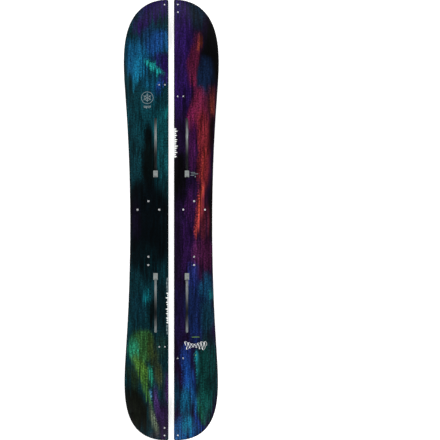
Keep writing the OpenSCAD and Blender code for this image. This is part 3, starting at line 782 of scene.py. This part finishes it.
for side, sign in sides.items():
    body = side + "_half"
    discY = -sign * discs["y"]
    rows = bendRows()

    # running base, die cut for the disc
    base = sheetBlank(side + "_running_base", sign, layer["edgeWidth"], layer["edgeWidth"],
                      0, layer["base"])
    carve(base, drumAt("cutter", xOf(sign, discs["u"]), discY, *deck["cut"], discs["radius"], 96))
    cutRows(base, rows)
    raiseToBoard(base)
    closeUp(base)
    slots = ("base_black", "base_white") if side == "left" else ("base_white", "base_black")
    papers = (baseBlack, baseWhite) if side == "left" else (baseWhite, baseBlack)
    finished(base, body, slots[0], papers[0], side + "_base")

    disc = drumAt(side + "_base_disc", xOf(sign, discs["u"]), discY, 0, layer["base"], discs["radius"], 96)
    cutRows(disc, [y for y in rows if abs(y - discY) < discs["radius"]])
    raiseToBoard(disc)
    closeUp(disc)
    finished(disc, body, slots[1], papers[1], side + "_base_inlay")

    # steel edge: one strip bent all round the base
    edge = sheetBlank(side + "_steel_edge", sign, 0, 0, 0, layer["coreBottom"])
    pickFaces(edge, lambda f: abs(f.normal.z) > 0.9)
    bpy.ops.mesh.inset(thickness=layer["edgeWidth"] * mm, depth=0, use_even_offset=True, use_boundary=True)
    bpy.ops.mesh.bridge_edge_loops()
    bpy.ops.object.mode_set(mode="OBJECT")
    cutRows(edge, rows)
    raiseToBoard(edge)
    closeUp(edge, 40)
    finished(edge, body, "steel_edge", edgeSteel,
             *[side + "_" + n for n in ("nose_edge", "tail_edge", "outer_edge", "inner_edge")])

    # sidewalls and end spacers from one rim block with an eased top edge
    block = sheetBlank(side + "_rim_block", sign, 0, 0, layer["coreBottom"], layer["coreTop"])
    topZ = layer["coreTop"] * mm - 0.0001
    easeEdges(block, layer["seamSetback"], 3, lambda a, b: a.z > topZ and b.z > topZ)
    for end, way in (("nose", 1), ("tail", -1)):
        only(block)
        bpy.ops.object.duplicate()
        spacer = named(f"{side}_{end}_tip_spacer")
        bpy.ops.object.mode_set(mode="EDIT")
        cropAt(way * (layer["coreEndY"] + layer["spacerGap"]), -way)
        bpy.ops.object.mode_set(mode="OBJECT")
        holes = [drumAt("cutter", xOf(sign, u), y, *deck["cut"], hardware["spacerHole"], 40)
                 for u, y in smallPlaces[side][end + "_clip_inserts"]]
        carve(spacer, joined(holes, "cutter"))
        cutRows(spacer, [y for y in rows if way * y > layer["coreEndY"] + 1])
        raiseToBoard(spacer)
        closeUp(spacer)
        finished(spacer, body, "end_spacer", spacerAbs, f"{side}_{end}_spacer")
    only(block)
    bpy.ops.object.mode_set(mode="EDIT")
    for way in (1, -1):
        cropAt(way * layer["coreEndY"], way)
    bpy.ops.object.mode_set(mode="OBJECT")
    carve(block, sheetBlank("cutter", sign, layer["outerSidewall"], layer["innerSidewall"], *deck["cut"]))
    cutRows(block, [y for y in rows if abs(y) < layer["coreEndY"] - 1])
    raiseToBoard(block)
    only(block)
    bpy.ops.object.mode_set(mode="EDIT")
    bpy.ops.mesh.select_all(action="SELECT")
    bpy.ops.mesh.separate(type="LOOSE")
    bpy.ops.object.mode_set(mode="OBJECT")
    walls = sorted(bpy.context.selected_objects, key=lambda o: max(abs(v.co.x) for v in o.data.vertices))
    for wall, word in zip(walls, ("inner", "outer")):
        wall.name = f"{side}_{word}_sidewall_strip"
        closeUp(wall)
        finished(wall, body, "sidewall", sidewallAbs, f"{side}_{word}_sidewall")
    print(side, "half: base, edge,", len(walls), "sidewalls and spacers made")

    # printed top sheet, open at the slots, ports and inserts
    sheet = sheetBlank(side + "_top_sheet", sign, layer["rimSetback"], layer["seamSetback"],
                       layer["laminateTop"], layer["top"])
    topZ = layer["top"] * mm - 0.00001
    easeEdges(sheet, layer["topEdge"], 2, lambda a, b: a.z > topZ and b.z > topZ)
    mouthHalf = hardware["mouth"] / 2 + hardware["reveal"]
    cutters = insertCutters(side, sign) + [slotCutter(sign, end, mouthHalf) for end in ("nose", "tail")]
    carve(sheet, joined(cutters, "cutter"))
    carve(sheet, joined([portCutter(sign, "nose"), portCutter(sign, "tail")], "cutter"))
    cutRows(sheet, rows)
    raiseToBoard(sheet)
    closeUp(sheet)
    finished(sheet, body, "topsheet_" + side, topSheetPrint[side], side + "_topsheet")

    for word, material in cadFinishes.items():
        dressed(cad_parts[side + "_" + word], material)
    print(side, "half: top sheet made")

# Port plugs, each with a fingernail scoop at one end and three grip grooves
plug = {
    "bottom": 3.2, "corner": 1.4, "edge": 0.5,
    "scoopWidth": 9, "scoopLength": 4.5, "scoopDepth": 2.4, "scoopEdge": 0.8,
    "grip": 1.2, "gripPitch": 3, "gripDepth": 0.8, "gripStart": 0.4,
}

for side, sign in sides.items():
    for end, way in (("nose", 1), ("tail", -1)):
        width = hardware["portWidth"] - 2 * hardware["plugGap"]
        length = hardware["portLength"] - 2 * hardware["plugGap"]
        y = hardware["railStart"][end] + way * hardware["portLength"] / 2
        x = xOf(sign, hardware["railU"])
        piece = boxAt(f"{side}_{end}_plug_cap", x, y, plug["bottom"], layer["top"], width, length)
        easeEdges(piece, plug["corner"], 5, lambda a, b: abs(a.z - b.z) > 0.001)
        scoop = boxAt("cutter", x, y - length / 2, layer["top"] - plug["scoopDepth"], deck["cut"][1],
                      plug["scoopWidth"], 2 * plug["scoopLength"])
        easeEdges(scoop, plug["scoopEdge"], 4, lambda a, b: min(a.z, b.z) < layer["top"] * mm)
        grips = [boxAt("cutter", x, y + (k + plug["gripStart"]) * plug["gripPitch"],
                       layer["top"] - plug["gripDepth"], deck["cut"][1], plug["scoopWidth"], plug["grip"])
                 for k in range(3)]
        carve(piece, joined([scoop] + grips, "cutter"))
        only(piece)
        ease = piece.modifiers.new("ease", "BEVEL")
        ease.width = plug["edge"] * mm
        ease.segments = 3
        ease.limit_method = "ANGLE"
        ease.angle_limit = math.radians(50)
        bpy.ops.object.modifier_apply(modifier="ease")
        closeUp(piece, 35)
        finished(piece, f"{side}_{end}_plug", "plug_plastic", plugPlastic, f"{side}_{end}_port_plug")
print("port plugs made")

thread = {"pitch": 1.0, "depth": 0.15, "chamfer": 0.4, "topEdge": 0.2, "blindEnd": 1.6}


# A flanged barrel turned from bar, its hole ringed with thread grooves, standing at the origin
def turnedInsert(size):
    barrel = hardware[size]["barrel"]
    hole = hardware[size]["hole"]
    height = layer["top"] - hardware["bottom"]
    piece = drumAt("insert_" + size, 0, 0, 0, hardware["flange"], barrel + hardware["flangeLip"], 40)

    def grow(up, across=None):
        bpy.ops.mesh.extrude_region_move(TRANSFORM_OT_translate={"value": (0, 0, up * mm)})
        if across:
            bpy.ops.transform.resize(value=(across, across, 1), center_override=(0, 0, 0))

    pickFaces(piece, lambda f: f.normal.z > 0.9)
    bpy.ops.mesh.inset(thickness=hardware["flangeLip"] * mm)
    grow(height - hardware["flange"] - thread["topEdge"])
    grow(thread["topEdge"], (barrel - thread["topEdge"]) / barrel)
    bpy.ops.mesh.inset(thickness=(barrel - thread["topEdge"] - hole - thread["chamfer"]) * mm)
    grow(-thread["chamfer"], hole / (hole + thread["chamfer"]))
    wide = (hole + thread["depth"]) / hole
    for _ in range(int((height - thread["blindEnd"]) / thread["pitch"])):
        grow(-thread["pitch"] / 2, wide)
        grow(-thread["pitch"] / 2, 1 / wide)
    bpy.ops.object.mode_set(mode="OBJECT")
    closeUp(piece, 25)
    return piece


inserts = {size: turnedInsert(size) for size in ("large", "small")}


def slope(y):
    start = kickStart(y)
    return 0 if start is None else math.asin((y - start) / (deck["kickRadius"] - boardTop(y)))


# An insert stands square to the board; the inserts of one clip share their mean slope
def placedInsert(size, sign, u, y):
    only(inserts[size])
    bpy.ops.object.duplicate()
    piece = bpy.context.object
    full = layer["top"] - hardware["bottom"]
    height = boardTop(y) - hardware["bottom"] - hardware["underSheet"]
    for v in piece.data.vertices:
        if v.co.z > (hardware["flange"] + 0.01) * mm:
            v.co.z = max(v.co.z - (full - height) * mm, hardware["floor"] * mm)
        v.co.z += hardware["bottom"] * mm
    outer, inner = hardware["clipY"]
    if abs(y) >= inner:
        angle = (slope(math.copysign(outer, y)) + slope(math.copysign(inner, y))) / 2
    else:
        angle = slope(y)
    top = raisedHeight(y, layer["top"])
    piece.data.transform(
        Matrix.Translation((xOf(sign, u) * mm, y * mm, top * mm))
        @ Matrix.Rotation(angle, 4, "X") @ Matrix.Translation((0, 0, -boardTop(y) * mm)))
    return piece


for side, sign in sides.items():
    groups = [(word, "large", places) for word, places in largePlaces.items()]
    groups += [(word, "small", places) for word, places in smallPlaces[side].items()]
    for word, size, places in groups:
        piece = joined([placedInsert(size, sign, u, y) for u, y in places],
                       f"{side}_{word.replace('inserts', 'turned_inserts')}")
        finished(piece, side + "_half", "insert_steel", insertZincPaintedHighlight, f"{side}_{word}")
for piece in inserts.values():
    bpy.data.objects.remove(piece)
print("inserts made")

inks = {"white": "#f2f4f4", "grey": "#78868a", "lime": "#79a326"}
marks = {
    "film": 0.04, "dryPatch": 2.6,    # thickness of the ink and size of its dry patches
    "ring": {"u": 71.6, "y": 411, "radius": 20.5, "line": 1.6},
    "flake": {"reach": 15.5, "line": 1.8, "twig": 4.2},
    # bars of one ink: u, y, length across, length along
    "left": {"grey": [(62, 381, 3, 7), (66, 380, 2.4, 9), (70, 381, 2.4, 6), (74, 379, 3, 9),
                      (78, 380, 2.4, 7), (82, 381, 2.4, 8),
                      (4.5, -199, 3, 11), (5.5, -212, 4, 10), (5, -225, 4, 11), (4.5, -236, 3, 8),
                      (5, -357, 4, 10), (5.5, -369, 4, 9), (4.5, -380, 3, 9)]},
    "right": {"grey": [(62, 150, 12, 2), (70, 155, 24, 2), (64, 160, 14, 2), (72, 146, 3, 5)],
              "lime": [(73, -393.5, 26, 1.8), (73.5, -454, 3.4, 3.4)]},
    # ridge line beside the seam: start, end along y and heights of its peaks
    "ridges": {"left": (-243, -349, (8, 5, 10, 5, 9, 7, 5, 10, 6, 9, 5, 9, 7, 8)),
               "right": (309, 209, (9, 13, 8, 11, 7, 12, 10, 8, 14, 11, 8, 12, 7, 10))},
    "stroke": {"fromU": 108, "toU": 38, "y": -422, "swing": 13, "turns": 6.5, "line": 2.6,
               "wobble": 3},
}


# Screen-printed ink: a flat matt colour with small dry patches
def makeInk(name, code):
    material, tree, shader = newMaterial(name)
    place = add(tree, "TexCoord").outputs["Object"]
    dry = add(tree, "TexNoise", None, {"Vector": place, "Scale": 1 / (marks["dryPatch"] * mm), "Detail": 4})
    tone = add(tree, "MapRange", None, {0: dry.outputs[0], 1: 0.35, 2: 0.6, 3: 0.7, 4: 1.0})
    mix = add(tree, "Mix", {"data_type": "RGBA", "blend_type": "MULTIPLY"},
              {0: 1.0, 6: colour(code), 7: tone.outputs[0]})
    wire(tree, shader, {"Base Color": mix.outputs[2]})
    shader.inputs["Roughness"].default_value = 0.4
    return material


inkOf = {word: makeInk("screenPrintedInk_" + word, code) for word, code in inks.items()}


# A film of ink cut to an outline given in u and y
def inkFilm(name, sign, outline, low=layer["top"], high=layer["top"] + marks["film"]):
    return flatBlank(name, [(xOf(sign, u), y) for u, y in outline], low, high)


def laid(piece):
    closeUp(piece)
    cutRows(piece, bendRows())
    raiseToBoard(piece)
    closeUp(piece)
    return piece


# One of six arms of a plain snow crystal, as an outline round its own middle
def flakeArm(turn, reach, line, twig):
    half = line / 2
    side = [(half, line), (half, reach * 0.45), (half + twig * 0.8, reach * 0.45 + twig * 0.5),
            (half + twig * 0.8, reach * 0.45 + twig * 0.5 + line * 1.1), (half, reach * 0.45 + line * 1.2),
            (half, reach * 0.9), (0, reach)]
    shape = [(0, 0)] + side + [(-x, y) for x, y in side[-2::-1]]
    c, s = math.cos(turn), math.sin(turn)
    return [(x * c - y * s, x * s + y * c) for x, y in shape]


def snowFlake(name, sign, u, y):
    flake = marks["flake"]
    arms = []
    for k in range(6):
        arm = flakeArm(k * math.pi / 3, flake["reach"], flake["line"], flake["twig"])
        arms.append(inkFilm("arm", sign, [(u + a, y + b) for a, b in arm]))
    return joined(arms, name)


ring = marks["ring"]


def ringPoints(radius):
    turns = [2 * math.pi * i / 64 for i in range(64)]
    return [(ring["u"] + radius * math.cos(t), ring["y"] + radius * math.sin(t)) for t in turns]


outer = inkFilm("left_ring", -1, ringPoints(ring["radius"]))
hole = inkFilm("cutter", -1, ringPoints(ring["radius"] - ring["line"]), *deck["cut"])
closeUp(outer)
closeUp(hole)
carve(outer, hole)
badge = joined([laid(outer), laid(snowFlake("flake", -1, ring["u"], ring["y"]))], "left_snow_badge")
finished(badge, "left_half", "topsheet_left", inkOf["grey"])

for side, sign in sides.items():
    for word in inks:
        films = [inkFilm("bar", sign, [(u - w / 2, y - n / 2), (u + w / 2, y - n / 2 + 0.4),
                                       (u + w / 2 - 0.4, y + n / 2), (u - w / 2, y + n / 2 - 0.3)])
                 for u, y, w, n in marks[side].get(word, [])]
        if films:
            bars = laid(joined(films, f"{side}_{word}_bars"))
            finished(bars, side + "_half", "topsheet_" + side, inkOf[word])
    start, end, peaks = marks["ridges"][side]
    step = (end - start) / (2 * len(peaks))
    line = [(0.9, start)]
    for i, peak in enumerate(peaks):
        line += [(peak, start + step * (2 * i + 0.7)), (peak * 0.85, start + step * (2 * i + 1.2)),
                 (2.0, start + step * (2 * i + 2))]
    line += [(0.9, end)]
    ridge = laid(inkFilm(side + "_ridge_line", sign, line))
    finished(ridge, side + "_half", "topsheet_" + side, inkOf["white"])

# one long brush stroke, swinging back and forth along the board as it crosses the tail
stroke = marks["stroke"]
deselect()
bpy.ops.mesh.primitive_grid_add(x_subdivisions=130, y_subdivisions=1, size=0.1)
wave = named("right_brush_stroke")
for v in wave.data.vertices:
    t = v.co.x / 0.1 + 0.5
    across = 1 if v.co.y > 0 else -1
    phase = 2 * math.pi * stroke["turns"] * t
    swing = stroke["swing"] * (0.75 + 0.35 * math.sin(7 * t + 0.8))
    width = stroke["line"] * (0.3 + 0.7 * math.cos(phase + 0.9) ** 2) / 2
    u = stroke["fromU"] + (stroke["toU"] - stroke["fromU"]) * t
    u += stroke["wobble"] * math.sin(2 * phase + 0.6)
    y = stroke["y"] + swing * math.sin(phase)
    v.co = Vector((xOf(1, u + across * width), y + across * width * 0.35, layer["top"])) * mm
pickFaces(wave, lambda face: True)
bpy.ops.mesh.extrude_region_move(TRANSFORM_OT_translate={"value": (0, 0, marks["film"] * mm)})
bpy.ops.object.mode_set(mode="OBJECT")
finished(laid(wave), "right_half", "topsheet_right", inkOf["white"])
print("printed marks made")

# Matt floor that glows a little, so that it stays white up to the board; light comes from the horizon
studio = {
    "floor": "#ececec", "speck": "#f6f6f6", "backlight": 0.5,
    "horizon": 1.5, "zenith": 0.06, "zenithFrom": 0.58,
    "lens": 800, "imageWidth": 1.4795, "centreX": 0.1639, "centreY": 0.0,
}

deselect()
bpy.ops.mesh.primitive_plane_add(size=90, location=(0, 0, 0))
floor = named("studio_floor")
floorMaterial, tree, shader = newMaterial("matteStudioFloor")
speck = add(tree, "TexNoise", None, {"Scale": 30.0})
tone = add(tree, "Mix", {"data_type": "RGBA"},
           {0: speck.outputs[0], 6: colour(studio["floor"]), 7: colour(studio["speck"])})
wire(tree, shader, {"Base Color": tone.outputs[2]})
shader.inputs["Roughness"].default_value = 0.9
shader.inputs["Specular IOR Level"].default_value = 0.1
shader.inputs["Emission Color"].default_value = (1, 1, 1, 1)
shader.inputs["Emission Strength"].default_value = studio["backlight"]
floor.data.materials.append(floorMaterial)

world = bpy.data.worlds.new("softbox")
bpy.context.scene.world = world
world.use_nodes = True
sky = world.node_tree
up = add(sky, "SeparateXYZ", None, {0: add(sky, "TexCoord").outputs["Generated"]})
level = add(sky, "MapRange", {"interpolation_type": "SMOOTHSTEP"}, {
    0: up.outputs[2], 1: studio["zenithFrom"], 2: studio["zenithFrom"] + 0.3,
    3: studio["horizon"], 4: studio["zenith"]})
wire(sky, sky.nodes["Background"], {"Strength": level.outputs[0]})
sky.nodes["Background"].inputs["Color"].default_value = (1, 1, 1, 1)


def areaLight(name, place, size, power):
    light = bpy.data.lights.new(name, "AREA")
    light.shape = "DISK"
    light.size = size
    light.energy = power
    lamp = bpy.data.objects.new(name, light)
    bpy.context.scene.collection.objects.link(lamp)
    lamp.location = place
    lamp.rotation_euler = Vector(place).to_track_quat("Z", "Y").to_euler()


areaLight("keySoftbox", (-2.6, 1.6, 2.4), 2.2, 60)
areaLight("fillSoftbox", (2.8, -1.2, 2.2), 2.2, 40)

camera = bpy.data.cameras.new("overhead")
camera.lens = studio["lens"]
camera.sensor_width = 36
camera.clip_start = 0.5
camera.clip_end = 200
view = bpy.data.objects.new("overhead", camera)
bpy.context.scene.collection.objects.link(view)
view.location = (studio["centreX"], studio["centreY"], studio["imageWidth"] * studio["lens"] / 36)
bpy.context.scene.camera = view
bpy.context.scene.view_settings.view_transform = "Standard"
bpy.context.scene.view_settings.look = "None"
print("stage, lights and camera set")
